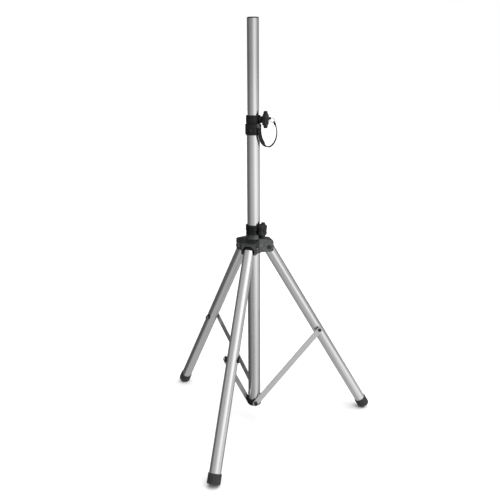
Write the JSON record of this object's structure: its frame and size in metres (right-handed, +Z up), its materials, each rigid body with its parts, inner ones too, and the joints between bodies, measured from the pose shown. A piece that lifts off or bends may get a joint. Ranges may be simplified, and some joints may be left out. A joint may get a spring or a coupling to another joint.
{
  "type": "loudspeaker tripod stand",
  "caption": "Folding tripod stand for a loudspeaker, with a telescopic pole, clamp knobs, a locking pin on a strap and rubber feet.",
  "frame": {"origin": "on the floor, on the axis of the upright tube", "axes": "+Z up along the upright tube and pole; leg 1 points along -Y"},
  "size_m": [0.7188, 0.628, 1.2934],
  "materials": {
    "satin_tube": "satin anodised",
    "brace_alloy": "mill finish",
    "rubber": "matte",
    "black_plastic": "moulded, satin",
    "black_steel": "blackened",
    "knob_plastic": "moulded, fine grain",
    "zinc_steel": "bright zinc",
    "brass": "turned",
    "hub_paint": "satin paint on casting",
    "nylon": "natural nylon",
    "webbing": "woven nylon webbing"
  },
  "bodies": {
    "upright": {"main_tube": "satin_tube", "lower_collar": "black_plastic", "lower_collar_rivets": "black_steel", "collar_bolts": "black_steel", "upper_collar": "black_plastic", "upper_collar_rivets": "black_steel", "collar_insert": "brass", "strap_clip": "black_steel", "strap_screw": "black_steel", "strap": "webbing"},
    "pole_guide": {"pole_guide": "nylon"},
    "pole": {"pole_tube": "satin_tube", "pole_cap": "black_plastic"},
    "collar_pad": {"collar_clamp_pad": "nylon"},
    "collar_knob": {"collar_clamp_screw": "zinc_steel", "collar_clamp_knob": "knob_plastic"},
    "pin": {"safety_pin": "zinc_steel", "pin_head": "black_plastic", "pin_ring": "zinc_steel", "strap_sleeve": "black_plastic"},
    "hub": {"hub_casting": "hub_paint", "hub_bush": "black_plastic", "hub_pivot_bolts": "black_steel", "hub_pivot_nuts": "black_steel"},
    "hub_pad": {"hub_clamp_pad": "nylon"},
    "hub_knob": {"hub_clamp_screw": "zinc_steel", "hub_clamp_knob": "knob_plastic"},
    "leg_1": {"leg_tube_1": "satin_tube", "leg_top_lug_1": "black_plastic", "foot_1": "rubber", "brace_spacer_1": "black_plastic", "nut_saddle_1": "black_plastic", "brace_bolt_1": "black_steel", "brace_nut_1": "black_steel"},
    "brace_1": {"brace_1": "brace_alloy"},
    "leg_2": {"leg_tube_2": "satin_tube", "leg_top_lug_2": "black_plastic", "foot_2": "rubber", "brace_spacer_2": "black_plastic", "nut_saddle_2": "black_plastic", "brace_bolt_2": "black_steel", "brace_nut_2": "black_steel"},
    "brace_2": {"brace_2": "brace_alloy"},
    "leg_3": {"leg_tube_3": "satin_tube", "leg_top_lug_3": "black_plastic", "foot_3": "rubber", "brace_spacer_3": "black_plastic", "nut_saddle_3": "black_plastic", "brace_bolt_3": "black_steel", "brace_nut_3": "black_steel"},
    "brace_3": {"brace_3": "brace_alloy"}
  },
  "joints": [
    {"name": "fold", "type": "hinge", "parent": "upright", "child": "brace_1", "pos_m": [0, 0.001, 0.0695], "axis": [-1, 0, 0], "range_deg": [0, 32]},
    {"name": "leg_1_swing", "type": "hinge", "parent": "brace_1", "child": "leg_1", "pos_m": [0, -0.21759, 0.31283], "axis": [-1, 0, 0], "range_deg": [-60.34, 0]},
    {"name": "hub_on_leg_1", "type": "hinge", "parent": "leg_1", "child": "hub", "pos_m": [0, -0.0452, 0.6082], "axis": [-1, 0, 0], "range_deg": [0, 28.34]},
    {"name": "leg_2_swing", "type": "hinge", "parent": "hub", "child": "leg_2", "pos_m": [0.03914, 0.0226, 0.6082], "axis": [0.5, -0.866, 0], "range_deg": [-28.34, 0]},
    {"name": "brace_2_swing", "type": "hinge", "parent": "leg_2", "child": "brace_2", "pos_m": [0.18844, 0.1088, 0.31283], "axis": [0.5, -0.866, 0], "range_deg": [0, 60.34]},
    {"name": "leg_3_swing", "type": "hinge", "parent": "hub", "child": "leg_3", "pos_m": [-0.03914, 0.0226, 0.6082], "axis": [0.5, 0.866, 0], "range_deg": [-28.34, 0]},
    {"name": "brace_3_swing", "type": "hinge", "parent": "leg_3", "child": "brace_3", "pos_m": [-0.18844, 0.1088, 0.31283], "axis": [0.5, 0.866, 0], "range_deg": [0, 60.34]},
    {"name": "pole_slide", "type": "slide", "parent": "upright", "child": "pole_guide", "axis": [0, 0, 1], "range_m": [-0.24, 0.48]},
    {"name": "pole_turn", "type": "hinge", "parent": "pole_guide", "child": "pole", "pos_m": [0, 0, 0.38], "axis": [0, 0, 1], "continuous": true},
    {"name": "collar_screw_slide", "type": "slide", "parent": "upright", "child": "collar_pad", "axis": [0.9986, 0.0523, 0], "range_m": [0, 0.00125]},
    {"name": "collar_knob_turn", "type": "hinge", "parent": "collar_pad", "child": "collar_knob", "pos_m": [0.03395, 0.00178, 1.0024], "axis": [0.9986, 0.0523, 0], "range_deg": [0, 360.1]},
    {"name": "hub_screw_slide", "type": "slide", "parent": "hub", "child": "hub_pad", "axis": [0.9925, -0.1219, 0], "range_m": [0, 0.00125]},
    {"name": "hub_knob_turn", "type": "hinge", "parent": "hub_pad", "child": "hub_knob", "pos_m": [0.02978, -0.00366, 0.663], "axis": [0.9925, -0.1219, 0], "range_deg": [0, 360.1]},
    {"name": "pin_slide", "type": "slide", "parent": "upright", "child": "pin", "axis": [-0.5, -0.866, 0], "range_m": [-0.006, 0.024]}
  ],
  "couplings": [
    {"joint": "leg_1_swing", "follows": "fold", "ratio": -1.8826},
    {"joint": "hub_on_leg_1", "follows": "fold", "ratio": 0.88261},
    {"joint": "leg_2_swing", "follows": "fold", "ratio": -0.88261},
    {"joint": "leg_3_swing", "follows": "fold", "ratio": -0.88261},
    {"joint": "brace_2_swing", "follows": "fold", "ratio": 1.8826},
    {"joint": "brace_3_swing", "follows": "fold", "ratio": 1.8826},
    {"joint": "collar_knob_turn", "follows": "collar_screw_slide", "rad_per_m": 5026.5},
    {"joint": "hub_knob_turn", "follows": "hub_screw_slide", "rad_per_m": 5026.5}
  ]
}
